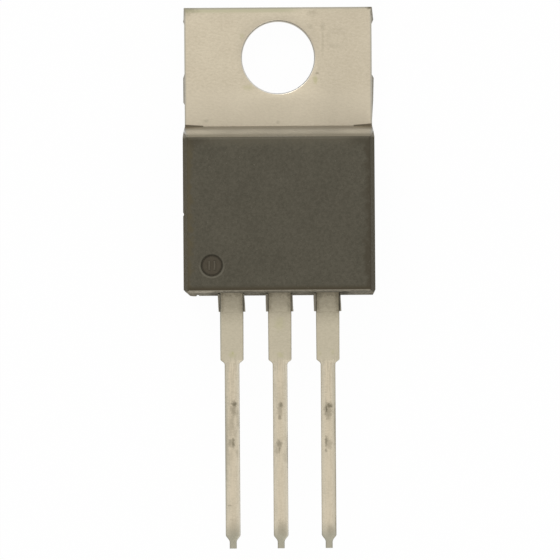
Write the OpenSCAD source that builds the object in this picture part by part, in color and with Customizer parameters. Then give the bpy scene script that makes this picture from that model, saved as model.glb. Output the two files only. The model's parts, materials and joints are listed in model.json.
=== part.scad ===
// Three-lead linear voltage regulator in a moulded power package with a metal tab.
//
// It lies on its back. The origin is the axis of the tab's fixing hole on the mounting
// face, which is z = 0. +Y runs to the top edge of the tab, the leads run along -Y, and
// +Z points out of the front of the moulding. All lengths are millimetres.

/* [Tab and slug] */
// Width of the tab
tab_w = 9.95; // [9.5:0.05:10]
// Thickness of the tab, and of the slug that carries the chip
tab_t = 1.3; // [1:0.05:1.5]
// Hole axis up to the top edge of the tab
tab_top = 2.65; // [2.4:0.05:3.1]
// Hole axis down to the edge of the moulding
tab_bottom = 3.65; // [3.2:0.05:4.2]
// Diameter of the fixing hole
hole_d = 3.84; // [3:0.02:4.1]
// Radius at the top corners of the tab
tab_corner_r = 0.1; // [0.05:0.01:0.3]
// Width of the slug on the mounting face, inside the moulding
slug_w = 8; // [7:0.1:8.6]
// Length of the slug below the edge of the moulding
slug_l = 6.1; // [5.6:0.1:6.6]
// How far the front of the slug overhangs its mounting face, which locks it in
lock_step = 0.3; // [0.1:0.05:0.4]
// Height of that overhang above the mounting face
lock_z = 0.6; // [0.4:0.05:0.8]
// Edge of the moulding down to the middle of the slug's locking groove
groove_in = 0.65; // [0.4:0.05:0.9]
// Width and twice the depth of that groove
groove_w = 0.3; // [0.1:0.05:0.4]

/* [Tie bar stubs] */
// Length of a lower stub on the side of the tab
stub_l = 1.43; // [0.8:0.01:1.8]
// How far the lower stubs stand proud of the side
stub_proud = 0.1; // [0.04:0.01:0.13]
// Edge of the moulding up to the lower end of a lower stub
stub_up = 1.18; // [0.8:0.01:1.4]
// Length of an upper stub, by the top corner of the tab
top_stub_l = 0.85; // [0.5:0.05:1.1]
// How far the upper stubs stand proud of the side
top_stub_proud = 0.07; // [0.03:0.01:0.12]
// Top edge of the tab down to the upper end of an upper stub
top_stub_down = 0.15; // [0.1:0.01:0.3]

/* [Moulding] */
// Width of the moulding at its parting line
body_w = 10.16; // [10.05:0.01:10.4]
// Length of the moulding at its parting line
body_l = 9; // [8.6:0.05:9.4]
// Mounting face to the front of the moulding
body_t = 4.5; // [4.3:0.05:4.8]
// Draft of each side, from the parting line to the front
side_draft = 0.245; // [0.05:0.005:0.4]
// Draft of the lead end, from the parting line to the front
end_draft = 0.31; // [0.05:0.01:0.5]
// Draft of the tab end, from the face of the tab to the front
top_draft = 0.64; // [0.2:0.02:0.8]
// Draft of the sides and the lead end, from the parting line to the back
back_draft = 0.16; // [0.05:0.01:0.25]
// Radius of the edges round the front
edge_r = 0.12; // [0.05:0.01:0.2]
// Length of the stretch that widens from the tab to the full width
ease_l = 0.6; // [0.3:0.05:1.2]
// Bevel of the lead end's left corner, across and along
left_bevel = [0.35, 0.32];
// Bevel of the lead end's right corner, across and along
right_bevel = [0.14, 0.28];
// Diameter of the ejector pin's mark in the front
dimple_d = 1.145; // [0.8:0.005:1.6]
// Depth of that mark
dimple_depth = 0.12; // [0.05:0.01:0.25]
// Full width's left side to the middle of the mark
dimple_side = 1.52; // [1.2:0.005:2.5]
// Lead end to the middle of the mark
dimple_end = 1.61; // [1.2:0.01:2.5]
// Length of the flash beside each lead, as far as the cut dam bar
flash_l = 0.85; // [0.5:0.05:1.2]
// Width of the flash on each side of a lead
flash_w = 0.1; // [0.05:0.01:0.15]

/* [Leads] */
// Distance between the middles of neighbouring leads
lead_pitch = 2.54; // [2.4:0.01:2.6]
// Thickness of the leads
lead_t = 0.5; // [0.4:0.01:0.6]
// Mounting face to the back of the leads
lead_rise = 2.4; // [2.2:0.05:2.6]
// Width of a lead where it leaves the moulding
root_w = 1.25; // [1.1:0.01:1.4]
// Width of a lead at the foot of its wide stretch
shoulder_w = 1.22; // [1:0.01:1.3]
// Width of a lead's narrow stretch
leg_w = 0.78; // [0.6:0.01:0.9]
// Width of the nub left on the tip
nub_w = 0.37; // [0.2:0.01:0.5]
// Moulding to the foot of the wide stretch
shoulder_l = 3.41; // [2.8:0.01:3.8]
// Length of the step from the wide to the narrow stretch
step_l = 0.17; // [0.15:0.01:0.4]
// Moulding to the end of the leads
lead_l = 13.38; // [12.7:0.01:14.2]
// Length of the nub left on the tip
nub_l = 0.41; // [0.2:0.01:0.6]
// Length of the taper above the nub
taper_l = 0.26; // [0.2:0.01:0.5]
// Width of the bond post inside the moulding, away from the centre lead
post_out = 1.4; // [1:0.05:1.6]
// Width of the bond post inside the moulding, towards the centre lead
post_in = 0.95; // [0.7:0.05:1.1]
// Length of the bond post
post_l = 1.2; // [0.9:0.05:1.3]
// Clearance between the end of the slug and the bond posts, seen from the front
post_gap = 0.4; // [0.2:0.05:0.5]
// Radius of the locking notches in the outer leads
notch_r = 0.18; // [0.1:0.01:0.25]
// Slope of the centre lead where it rises from the slug
rise_angle = 60; // [50:1:70]
// Radius of the middle of that lead in its two bends
rise_r = 0.55; // [0.4:0.05:0.6]

/* [Chip and wires] */
// Width of the chip
die_w = 2.4; // [2:0.05:2.8]
// Length of the chip
die_l = 2; // [1.8:0.05:2.2]
// Thickness of the chip
die_t = 0.3; // [0.2:0.01:0.4]
// Edge of the moulding down to the middle of the chip
die_in = 3.6; // [3.4:0.05:3.8]
// Thickness of the solder under the chip
solder_t = 0.05; // [0.03:0.01:0.1]
// How far the solder shows round the chip
solder_edge = 0.12; // [0.05:0.01:0.2]
// Diameter of the two wires that carry the main current
power_wire_d = 0.2; // [0.15:0.01:0.25]
// Diameter of the sense and ground wires
fine_wire_d = 0.13; // [0.1:0.01:0.15]
// Length of the flattened foot at each end of a wire
foot_l = 0.32; // [0.25:0.01:0.4]

/* [Hidden] */
$fn = 48;
// Sides of a bond wire's round section
wire_sides = 12;
// How far a cutting shape runs past what it cuts
past = 0.5;

mould_top = -tab_bottom;
mould_end = mould_top - body_l;
slug_end = mould_top - slug_l;
back_w = body_w - 2 * back_draft;
front_w = body_w - 2 * side_draft;
lead_front = lead_rise + lead_t;

// The leads, from the slug outwards
post_top = slug_end - post_gap;
post_end = post_top - post_l;
lead_end = mould_end - lead_l;
nub_top = lead_end + nub_l;

// The centre lead leaves flush with the front of the slug and rises to the lead level
rise_from = tab_t - lead_t / 2;
rise_to = lead_rise + lead_t / 2;
rise_straight = (rise_to - rise_from - 2 * rise_r * (1 - cos(rise_angle))) / sin(rise_angle);
rise_start = slug_end - 0.1;
rise_end = rise_start - 2 * rise_r * sin(rise_angle) - rise_straight * cos(rise_angle);

// The chip and the faces that the wires are bonded to
die_y = mould_top - die_in;
die_z = tab_t + solder_t;
pad_z = die_z + die_t;
pad_x = die_w / 2 - 0.4;
pad_y = die_y - die_l / 2 + 0.45;
post_y = (post_top + post_end) / 2;
post_middle = lead_pitch + (post_out - post_in) / 2;

// ---- Outlines ----

// The unit vector from p to q
function toward(p, q) = (q - p) / norm(q - p);

// The points of an arc of radius r that rounds the corner q between p and s
function rounded_corner(p, q, s, r, steps = 5) =
    let (
        u = toward(q, p),
        v = toward(q, s),
        half = acos(u * v) / 2,
        middle = q + toward([0, 0], u + v) * r / sin(half),
        a = q + u * r / tan(half) - middle,
        b = q + v * r / tan(half) - middle
    )
    [for (i = [0 : steps])
        let (t = i / steps, turn = acos(a * b / (r * r)))
        middle + (a * sin((1 - t) * turn) + b * sin(t * turn)) / sin(turn)];

// A closed outline of [x, y, radius] corners, where a radius of 0 stays sharp
function outline(corners) =
    let (n = len(corners), flat = [for (c = corners) [c[0], c[1]]])
    [for (i = [0 : n - 1])
        each corners[i][2] == 0
            ? [flat[i]]
            : rounded_corner(flat[(i + n - 1) % n], flat[i], flat[(i + 1) % n], corners[i][2])];

// Corners on the right of the Y axis, and their mirror images in the order that closes them
function both_sides(half) =
    concat(half, [for (i = [len(half) - 1 : -1 : 0]) [-half[i][0], half[i][1], half[i][2]]]);

// ---- Tab, slug and leads ----

// The right side of the tab, with the two stubs of the cut tie bars
tab_side = [
    [tab_w / 2, mould_top, 0],
    [tab_w / 2, mould_top + stub_up, 0],
    [tab_w / 2 + stub_proud, mould_top + stub_up, 0],
    [tab_w / 2 + stub_proud, mould_top + stub_up + stub_l, 0],
    [tab_w / 2, mould_top + stub_up + stub_l, 0],
    [tab_w / 2, tab_top - top_stub_down - top_stub_l, 0],
    [tab_w / 2 + top_stub_proud, tab_top - top_stub_down - top_stub_l, 0],
    [tab_w / 2 + top_stub_proud, tab_top - top_stub_down, 0],
    [tab_w / 2, tab_top - top_stub_down, 0],
    [tab_w / 2, tab_top, tab_corner_r]
];

// The front view of a straight leg, from the given height down to the tip
function leg(from_y) = outline(both_sides([
    [root_w / 2, from_y, 0],
    [root_w / 2, mould_end, 0],
    [shoulder_w / 2, mould_end - shoulder_l, 0.05],
    [leg_w / 2, mould_end - shoulder_l - step_l, 0.1],
    [leg_w / 2, nub_top + taper_l, 0.05],
    [nub_w / 2, nub_top, 0.1],
    [nub_w / 2, lead_end, 0]
]));

// The side view of the centre lead's two bends, on its front (1) or its back (-1)
function rise_side(face) =
    let (out = face * lead_t / 2)
    concat(
        [for (a = [0 : rise_angle / 6 : rise_angle + 0.1])
            [rise_start - (rise_r - out) * sin(a), rise_from + rise_r - (rise_r - out) * cos(a)]],
        [for (a = [rise_angle : -rise_angle / 6 : -0.1])
            [rise_end + (rise_r + out) * sin(a), rise_to - rise_r + (rise_r + out) * cos(a)]]
    );

// The rising stretch of the centre lead, from inside the slug to inside the straight leg
module centre_lead_rise() {
    front = rise_side(1);
    back = rise_side(-1);
    side_view = concat(
        [[slug_end + past, rise_from + lead_t / 2]], front,
        [for (i = [len(back) - 1 : -1 : 0]) back[i]], [[slug_end + past, rise_from - lead_t / 2]]
    );
    rotate([90, 0, 90])
        linear_extrude(root_w, center = true)
            polygon(side_view);
}

// The slug under the chip, whose front is wider than its mounting face
module slug() {
    translate([-slug_w / 2, slug_end, 0])
        cube([slug_w, slug_l + past, tab_t]);
    translate([-slug_w / 2 - lock_step, slug_end, lock_z])
        cube([slug_w + 2 * lock_step, slug_l + past, tab_t - lock_z]);
}

module tab_with_centre_lead() {
    color("#c4b8a2")
    union() {
        difference() {
            union() {
                linear_extrude(tab_t)
                    polygon(outline(both_sides(tab_side)));
                slug();
            }
            translate([0, 0, -past])
                cylinder(d = hole_d, h = tab_t + 2 * past);
            translate([0, mould_top - groove_in, tab_t])
                rotate([45, 0, 0])
                    cube([slug_w + 2 * lock_step + 2 * past, groove_w / sqrt(2), groove_w / sqrt(2)],
                        center = true);
        }
        centre_lead_rise();
        translate([0, 0, lead_rise])
            linear_extrude(lead_t)
                polygon(leg(rise_end));
    }
}

// An outer lead, drawn on the right of the centre lead
module outer_lead() {
    translate([lead_pitch, 0, lead_rise])
        linear_extrude(lead_t)
            difference() {
                union() {
                    polygon(leg(post_end + past));
                    polygon(outline([
                        [-post_in, post_top, 0.15],
                        [post_out, post_top, 0.15],
                        [post_out, post_end, 0.15],
                        [-post_in, post_end, 0.15]
                    ]));
                }
                for (side = [-1, 1])
                    translate([side * root_w / 2, (post_end + mould_end) / 2])
                        circle(r = notch_r);
            }
}

module input_lead() {
    color("#c4b8a2")
    mirror([1, 0, 0])
        outer_lead();
}

module output_lead() {
    color("#c4b8a2")
    outer_lead();
}

// ---- Chip, solder and wires ----

module die_solder() {
    color("#9a9ca0")
    translate([0, die_y, tab_t + solder_t / 2])
        cube([die_w + 2 * solder_edge, die_l + 2 * solder_edge, solder_t], center = true);
}

module regulator_die() {
    color("#4c5566")
    translate([0, die_y, die_z + die_t / 2])
        cube([die_w, die_l, die_t], center = true);
}

// The places along a wire, each [distance, height, heading]. The wire starts at the origin
// along +X, and each of its steps is [straight length, turn, radius of the turn].
function wire_places(steps, i = 0, at = [0, 0], heading = 0) =
    let (
        run = steps[i][0],
        turn = steps[i][1],
        r = steps[i][2] * sign(turn),
        start = at + run * [cos(heading), sin(heading)],
        arc = [for (k = [0 : turn == 0 ? 0 : 5])
            let (a = heading + turn * k / 5)
            concat(start + r * [sin(a) - sin(heading), cos(heading) - cos(a)], a)],
        last = arc[len(arc) - 1]
    )
    concat(
        i == 0 ? [concat(at, heading)] : [],
        arc,
        i < len(steps) - 1 ? wire_places(steps, i + 1, [last[0], last[1]], last[2]) : []
    );

// A round wire through those places
module wire_run(d, steps) {
    places = wire_places(steps);
    rings = len(places);
    polyhedron(
        [for (p = places, k = [0 : wire_sides - 1])
            let (turn = k * 360 / wire_sides, up = d / 2 * cos(turn))
            [p[0] - up * sin(p[2]), d / 2 * sin(turn), p[1] + up * cos(p[2])]],
        concat(
            [[for (k = [wire_sides - 1 : -1 : 0]) k]],
            [for (j = [0 : rings - 2], k = [0 : wire_sides - 1])
                let (a = j * wire_sides + k, b = j * wire_sides + (k + 1) % wire_sides)
                [a, b, b + wire_sides, a + wire_sides]],
            [[for (k = [0 : wire_sides - 1]) (rings - 1) * wire_sides + k]]
        )
    );
}

// A wedge-bonded wire between two points on the bonded faces, which climbs at one angle
// and comes down at another. The two straight lengths follow from the span.
module bond_wire(from, to, d, climb, fall) {
    span = to - from;
    reach = norm([span[0], span[1]]);
    heel_r = 1.3 * d;
    top_r = 2.5 * d;
    // the height of the wire's axis at its ends, and the thickness of its flattened feet
    axis_up = 0.6 * d;
    foot_t = 0.72 * d;
    level = reach - foot_l - (heel_r + top_r) * (sin(climb) + sin(fall));
    height = span[2] - (heel_r + top_r) * (cos(fall) - cos(climb));
    up_l = (level * sin(fall) + height * cos(fall)) / sin(climb + fall);
    down_l = (level * sin(climb) - height * cos(climb)) / sin(climb + fall);
    translate(from)
        rotate([0, 0, atan2(span[1], span[0])]) {
            translate([0, 0, axis_up])
                wire_run(d, [
                    [foot_l / 2, climb, heel_r],
                    [up_l, -climb - fall, top_r],
                    [down_l, fall, heel_r],
                    [foot_l / 2, 0, 0]
                ]);
            translate([0, 0, foot_t / 2])
                cube([foot_l, 1.3 * d, foot_t], center = true);
            translate([reach, 0, span[2] + foot_t / 2])
                cube([foot_l, 1.3 * d, foot_t], center = true);
        }
}

module input_bond_wire() {
    color("#d8d8da")
    bond_wire([-pad_x, pad_y, pad_z], [-post_middle, post_y, lead_front], power_wire_d, 50, 38);
}

module output_bond_wire() {
    color("#d8d8da")
    bond_wire([pad_x, pad_y, pad_z], [post_middle + 0.3, post_y, lead_front], power_wire_d, 50, 38);
}

module sense_bond_wire() {
    color("#d8d8da")
    bond_wire([pad_x - 0.6, pad_y, pad_z], [post_middle - 0.5, post_y, lead_front],
        fine_wire_d, 50, 38);
}

module ground_bond_wire() {
    color("#d8d8da")
    bond_wire([0, die_y + die_l / 2 - 0.4, pad_z], [0, mould_top - groove_in - 0.6, tab_t],
        fine_wire_d, 50, 50);
}

// ---- Moulding ----

// A point on the line from p to q, past q by the given share of that length
function beyond(p, q, share) = q + share * (q - p);

// The front view of one lower corner and the side above it, run past the drafted sides
function corner_cut(side, bevel) =
    let (
        top = [side * tab_w / 2, mould_top],
        wide = [side * body_w / 2, mould_top - ease_l],
        high = [side * body_w / 2, mould_end + bevel[1]],
        low = [side * (body_w / 2 - bevel[0]), mould_end]
    )
    [beyond(wide, top, 0.3), beyond(top, wide, 1), beyond(low, high, 0.3), beyond(high, low, 0.3)];

module moulding_outside() {
    intersection() {
        // the end view, with the parting line at the back of the leads
        translate([0, mould_top, 0])
            rotate([90, 0, 0])
                linear_extrude(body_l)
                    polygon(outline(both_sides([
                        [back_w / 2, 0, 0],
                        [body_w / 2, lead_rise, 0],
                        [front_w / 2, body_t, edge_r]
                    ])));
        // the side view
        rotate([90, 0, 90])
            linear_extrude(body_w + 2 * past, center = true)
                polygon(outline([
                    [mould_top, 0, 0],
                    [mould_top, tab_t, 0],
                    [mould_top - top_draft, body_t, edge_r],
                    [mould_end + end_draft, body_t, edge_r],
                    [mould_end, lead_rise, 0],
                    [mould_end + back_draft, 0, 0]
                ]));
        // the front view, with the corners eased
        translate([0, 0, -past])
            linear_extrude(body_t + 2 * past)
                polygon(concat(
                    corner_cut(1, right_bevel),
                    [for (i = [3 : -1 : 0]) corner_cut(-1, left_bevel)[i]]
                ));
    }
}

// Plastic that was squeezed out beside the leads as far as the dam bar
module dam_bar_flash() {
    for (lead = [-1 : 1])
        translate([lead * lead_pitch - root_w / 2 - flash_w, mould_end - flash_l, lead_rise])
            cube([root_w + 2 * flash_w, flash_l + back_draft, lead_t]);
}

module moulded_body() {
    color("#56524a")
    difference() {
        union() {
            moulding_outside();
            dam_bar_flash();
        }
        translate([-body_w / 2 + dimple_side, mould_end + dimple_end, body_t - dimple_depth])
            cylinder(d = dimple_d, h = dimple_depth + past);
        tab_with_centre_lead();
        input_lead();
        output_lead();
        die_solder();
        regulator_die();
        input_bond_wire();
        output_bond_wire();
        sense_bond_wire();
        ground_bond_wire();
    }
}

moulded_body();
tab_with_centre_lead();
input_lead();
output_lead();
regulator_die();
die_solder();
input_bond_wire();
output_bond_wire();
sense_bond_wire();
ground_bond_wire();
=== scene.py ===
# %% [markdown]
# # A three-lead voltage regulator, dressed in Blender
#
# The part is a small power package: a block of dark epoxy moulded round a copper strip.
# The thick end of the strip is the metal tab with its hole, and its thin end comes out as
# the middle lead. Two more leads lie beside it. Everything here is in metres, in the
# same frame as the solid model, so a piece is made exactly where it belongs.
#
# The first step loads the solid model.

import json
import math

import bmesh
import bpy
from bmesh.types import BMEdge, BMFace, BMVert
from mathutils import Matrix, Vector, noise


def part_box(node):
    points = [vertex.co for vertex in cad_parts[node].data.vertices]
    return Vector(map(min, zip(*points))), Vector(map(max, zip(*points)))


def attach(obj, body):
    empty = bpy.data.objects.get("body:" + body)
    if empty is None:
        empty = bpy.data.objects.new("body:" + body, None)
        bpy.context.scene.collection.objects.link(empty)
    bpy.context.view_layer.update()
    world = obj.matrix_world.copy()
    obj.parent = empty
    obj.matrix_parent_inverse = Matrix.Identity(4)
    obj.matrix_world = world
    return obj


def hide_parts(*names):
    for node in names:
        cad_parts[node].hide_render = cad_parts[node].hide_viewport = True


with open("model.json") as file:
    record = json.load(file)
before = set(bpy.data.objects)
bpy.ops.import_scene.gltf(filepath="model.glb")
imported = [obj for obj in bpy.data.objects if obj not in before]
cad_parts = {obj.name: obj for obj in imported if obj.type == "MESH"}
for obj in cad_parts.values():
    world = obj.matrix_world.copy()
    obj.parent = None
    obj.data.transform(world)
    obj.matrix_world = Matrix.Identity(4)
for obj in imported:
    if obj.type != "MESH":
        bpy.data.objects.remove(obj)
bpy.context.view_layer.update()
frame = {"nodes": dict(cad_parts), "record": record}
scene = bpy.context.scene

# %% [markdown]
# ## The sizes that everything follows
#
# The boxes of the solids and the mounts in the record give the driving sizes. What no box
# can tell, such as the height of a ledge, is named here in millimetres.

# %% Driving sizes
MM = 0.001
tiny = 1e-7  # how far apart two places may be and still count as the same
slack = 1e-6  # how far a corner may lie from a plane and still count as in it
stub_proud, flash_length = 0.1 * MM, 0.85 * MM  # these stand out of the tab and the moulding

body_low, body_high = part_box("moulded_body")
header_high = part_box("tab_with_centre_lead")[1]
lead_low, lead_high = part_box("output_lead")
mounts = {mount["name"]: mount for mount in frame["record"]["mounts"]}

hole_r = mounts["tab_hole"]["dims"]["r_mm"] * MM
tab_t = mounts["tab_hole"]["dims"]["length_mm"] * MM
pitch = mounts["output_lead_tip"]["pos_m"][0]
tab_top, tab_half = header_high.y, header_high.x - stub_proud
mould_top, mould_end = body_high.y, body_low.y + flash_length
body_half, front = body_high.x, body_high.z
lead_back, lead_front = lead_low.z, lead_high.z
lead_tip, post_top, post_outer = lead_low.y, lead_high.y, lead_high.x
lead_t, lead_middle = lead_front - lead_back, (lead_back + lead_front) / 2
print("tab thickness", tab_t / MM, "mm, lead pitch", pitch / MM, "mm")

# %% [markdown]
# ## Camera
#
# The part lies on its back and the camera looks straight down at it, from far away with
# a long lens, so that the sides hardly show. The part sits a little askew in the view,
# which is done by turning the camera and not the part.

# %% Camera
view_width = 29.63 * MM
view_distance = 400 * MM
view_middle = Vector((0.028 * MM, -11.834 * MM, 0))
askew = math.radians(0.38)

camera = bpy.data.objects.new("camera", bpy.data.cameras.new("camera"))
scene.collection.objects.link(camera)
camera.data.lens = camera.data.sensor_width * view_distance / view_width
camera.data.clip_start = 10 * MM
camera.data.clip_end = 10
camera.location = view_middle + Vector((0, 0, lead_front + view_distance))
camera.rotation_euler = (0, 0, -askew)
scene.camera = camera
scene.view_settings.view_transform = "Standard"
print("lens", round(camera.data.lens), "mm")


# %% [markdown]
# ## Helpers for node materials
#
# A material is a graph of nodes. Here the output of a node is wrapped as a value, and
# adding or multiplying such values makes the Math nodes. So a graph reads like arithmetic.


# %% Node helpers
def connect(value, socket):
    """Links a socket to a value, or sets it to a plain number, vector or colour."""
    if isinstance(value, Value):
        value.tree.links.new(value.socket, socket)
    else:
        socket.default_value = value


def add_node(tree, kind, inputs=None, **settings):
    """A node of that kind with its settings and its inputs."""
    node = tree.nodes.new(kind)
    for name, setting in settings.items():
        setattr(node, name, setting)
    for key, value in (inputs or {}).items():
        connect(value, node.inputs[key])
    return node


class Value:
    """What a node gives out. Sums, products and the like make Math nodes."""

    def __init__(self, node, output=0):
        self.tree, self.socket = node.id_data, node.outputs[output]

    def math(self, operation, *values):
        """The result of a Math node in the same tree."""
        inputs = dict(enumerate(values))
        return Value(add_node(self.tree, "ShaderNodeMath", inputs, operation=operation))

    def __add__(self, other):
        return self.math("ADD", self, other)

    def __sub__(self, other):
        return self.math("SUBTRACT", self, other)

    def __rsub__(self, other):
        return self.math("SUBTRACT", other, self)

    def __mul__(self, other):
        return self.math("MULTIPLY", self, other)

    def __abs__(self):
        return self.math("ABSOLUTE", self)

    def clamped(self):
        """The same value, held between 0 and 1."""
        self.socket.node.use_clamp = True
        return self


def largest(first, second):
    """The larger one of two values."""
    return first.math("MAXIMUM", first, second)


def vector_math(operation, first, *others):
    """The result of a Vector Math node."""
    inputs = dict(enumerate((first, *others)))
    node = add_node(first.tree, "ShaderNodeVectorMath", inputs, operation=operation)
    return Value(node, "Value" if operation == "LENGTH" else "Vector")


def separate(place):
    """The three coordinates of a place."""
    node = add_node(place.tree, "ShaderNodeSeparateXYZ", {"Vector": place})
    return [Value(node, axis) for axis in "XYZ"]


def mapped(place, **inputs):
    """A place that is turned or stretched, for a pattern with a direction."""
    return Value(add_node(place.tree, "ShaderNodeMapping", {"Vector": place, **inputs}))


def ramp(value, low, high, bottom=0.0, top=1.0):
    """A smooth step from bottom, where the value is low, to top, where it is high."""
    sides = {"Value": value, "From Min": low, "From Max": high, "To Min": bottom, "To Max": top}
    node = add_node(value.tree, "ShaderNodeMapRange", sides, interpolation_type="SMOOTHSTEP")
    return Value(node, "Result")


def noise_value(place, scale, detail=3.0, roughness=0.6):
    """The grey value of a Noise texture."""
    inputs = {"Vector": place, "Scale": scale, "Detail": detail, "Roughness": roughness}
    return Value(add_node(place.tree, "ShaderNodeTexNoise", inputs), "Fac")


def mix_colour(amount, first, second):
    """The colour that goes from the first to the second as the amount goes from 0 to 1."""
    node = add_node(amount.tree, "ShaderNodeMix", {0: amount}, data_type="RGBA")
    for key, colour in ((6, first), (7, second)):
        connect((*colour, 1) if isinstance(colour, tuple) else colour, node.inputs[key])
    return Value(node, 2)


def paint(colour, *layers):
    """Lays colours over a ground. Each layer is a mask and a colour."""
    for mask, tint in layers:
        colour = mix_colour(mask, colour, tint)
    return colour


def new_group(name, inputs, outputs):
    """A node group. Its inputs are given by their defaults, and its outputs are numbers."""
    group = bpy.data.node_groups.new(name, "ShaderNodeTree")
    for socket, default in inputs.items():
        kind = "NodeSocketVector" if isinstance(default, tuple) else "NodeSocketFloat"
        made = group.interface.new_socket(name=socket, in_out="INPUT", socket_type=kind)
        made.default_value = default
    for socket in outputs:
        group.interface.new_socket(name=socket, in_out="OUTPUT", socket_type="NodeSocketFloat")
    entry, leave = group.nodes.new("NodeGroupInput"), group.nodes.new("NodeGroupOutput")
    return {socket: Value(entry, socket) for socket in inputs}, leave.inputs


def use_group(name, place, **inputs):
    """A group that is placed in the material of a place."""
    node = place.tree.nodes.new("ShaderNodeGroup")
    node.node_tree = bpy.data.node_groups[name]
    for key, value in {"Place": place, **inputs}.items():
        connect(value, node.inputs[key])
    return node


def new_material(name):
    """A material, with its shader and the object's coordinates in millimetres."""
    material = bpy.data.materials.new(name)
    material.use_nodes = True
    tree = material.node_tree
    metres = Value(add_node(tree, "ShaderNodeTexCoord"), "Object")
    return material, tree.nodes["Principled BSDF"], vector_math("MULTIPLY", metres, (1 / MM,) * 3)


def feed_shader(shader, inputs, relief=None):
    """Sets or links the shader's inputs. A relief is a height, a strength and a depth in mm."""
    if relief:
        height, strength, depth = relief
        bump = {"Height": height, "Strength": strength, "Distance": depth * MM}
        inputs["Normal"] = Value(add_node(shader.id_data, "ShaderNodeBump", bump))
    for key, value in inputs.items():
        connect(value, shader.inputs[key])
    print("material with", len(shader.id_data.nodes), "nodes")


print("node helpers ready")

# %% [markdown]
# ## Floor and world
#
# The floor is a plain pale sheet just under the part. The camera and the reflections see
# it white, while the light that it throws back comes from an ordinary matt white. A small
# share of that matt white stays in what the camera sees, which keeps the part's shadow.


# %% Floor and world
def show_white(tree, share, other, white, output):
    """Shows white to rays that see a thing directly, and another shader to the rest."""
    path = add_node(tree, "ShaderNodeLightPath")
    camera_ray, glossy_ray, clear_ray = (
        Value(path, f"Is {kind} Ray") for kind in ("Camera", "Glossy", "Transmission")
    )
    seen = (camera_ray + glossy_ray + clear_ray).clamped() * share
    both = add_node(tree, "ShaderNodeMixShader", {0: seen, 1: Value(other), 2: Value(white)})
    add_node(tree, output, {"Surface": Value(both)})


bm = bmesh.new()
bmesh.ops.create_grid(bm, x_segments=1, y_segments=1, size=400 * MM)
bmesh.ops.translate(bm, vec=(0, 0, -0.02 * MM), verts=bm.verts)
floor_mesh = bpy.data.meshes.new("floor")
bm.to_mesh(floor_mesh)
bm.free()
floor = bpy.data.objects.new("floor", floor_mesh)
scene.collection.objects.link(floor)

floor_material = bpy.data.materials.new("pale_floor")
floor_material.use_nodes = True
tree = floor_material.node_tree
tree.nodes.clear()
matt = add_node(tree, "ShaderNodeBsdfDiffuse", {"Color": (0.9, 0.9, 0.9, 1)})
white = add_node(tree, "ShaderNodeEmission", {"Color": (1, 1, 1, 1), "Strength": 1.0})
show_white(tree, 0.975, matt, white, "ShaderNodeOutputMaterial")
floor_mesh.materials.append(floor_material)

world = bpy.data.worlds.new("studio")
world.use_nodes = True
scene.world = world
tree = world.node_tree
tree.nodes.clear()
room = add_node(tree, "ShaderNodeBackground", {"Color": (1.0, 0.99, 0.97, 1), "Strength": 0.6})
backdrop = add_node(tree, "ShaderNodeBackground", {"Color": (1, 1, 1, 1), "Strength": 1.0})
show_white(tree, 1.0, room, backdrop, "ShaderNodeOutputWorld")
print("floor at", round(floor_mesh.vertices[0].co.z / MM, 2), "mm")

# %% [markdown]
# ## Lamps
#
# One soft lamp stands beyond the tab, a little to the left, and its light runs down the
# part. A weaker one on the other side keeps the lead end from going flat.


# %% Lamps
def soft_lamp(name, position, size, power):
    """A square and slightly warm area lamp that points at the middle of the part."""
    data = bpy.data.lights.new(name, "AREA")
    data.size = size
    data.energy = power
    data.color = (1.0, 0.98, 0.95)
    lamp = bpy.data.objects.new(name, data)
    scene.collection.objects.link(lamp)
    lamp.location = position
    lamp.rotation_euler = (view_middle - lamp.location).to_track_quat("-Z", "Y").to_euler()
    return lamp


key_lamp = soft_lamp("key_lamp", Vector((-0.10, 0.22, 0.28)), 0.16, 0.42)
fill_lamp = soft_lamp("fill_lamp", Vector((0.12, -0.24, 0.26)), 0.20, 0.22)
print("lamps:", round(key_lamp.data.energy, 2), "W and", round(fill_lamp.data.energy, 2), "W")

# %% [markdown]
# ## Helpers for shapes
#
# Stamped and moulded parts are easy to describe as a block whose faces are cut into zones,
# and then drawn out again and again. These helpers wrap the bmesh operators for that.


# %% Shape helpers
def of_kind(kind, parts):
    """The vertices, the edges or the faces among some parts."""
    return [part for part in parts if isinstance(part, kind)]


def corners_of(parts):
    """The vertices of some edges or faces, each of them once."""
    return {vert for part in parts for vert in part.verts}


def add_block(bm, low, high):
    """A box from its lowest to its highest corner. Returns its vertices."""
    low, high = Vector(low), Vector(high)
    verts = bmesh.ops.create_cube(bm, size=1)["verts"]
    bmesh.ops.scale(bm, vec=high - low, verts=verts)
    bmesh.ops.translate(bm, vec=(low + high) / 2, verts=verts)
    return verts


def faces_at(bm, axis, place, within=None):
    """The faces that lie in the plane at a place on an axis, and whose middle is in a box."""
    found = []
    for face in bm.faces:
        if any(abs(vert.co[axis] - place) > slack for vert in face.verts):
            continue
        middle = face.calc_center_median()
        if all(low <= middle[other] <= high for other, (low, high) in (within or {}).items()):
            found.append(face)
    return found


def cut_faces(bm, faces, axis, place):
    """Cuts some faces with the plane at a place on an axis. Returns the new vertices."""
    parts = set(faces)
    for face in faces:
        parts.update(face.edges)
        parts.update(face.verts)
    point, normal = Vector((0, 0, 0)), Vector((0, 0, 0))
    point[axis], normal[axis] = place, 1
    made = bmesh.ops.bisect_plane(
        bm, geom=list(parts), dist=1e-8, plane_co=point, plane_no=normal
    )
    return of_kind(BMVert, made["geom_cut"])


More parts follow.
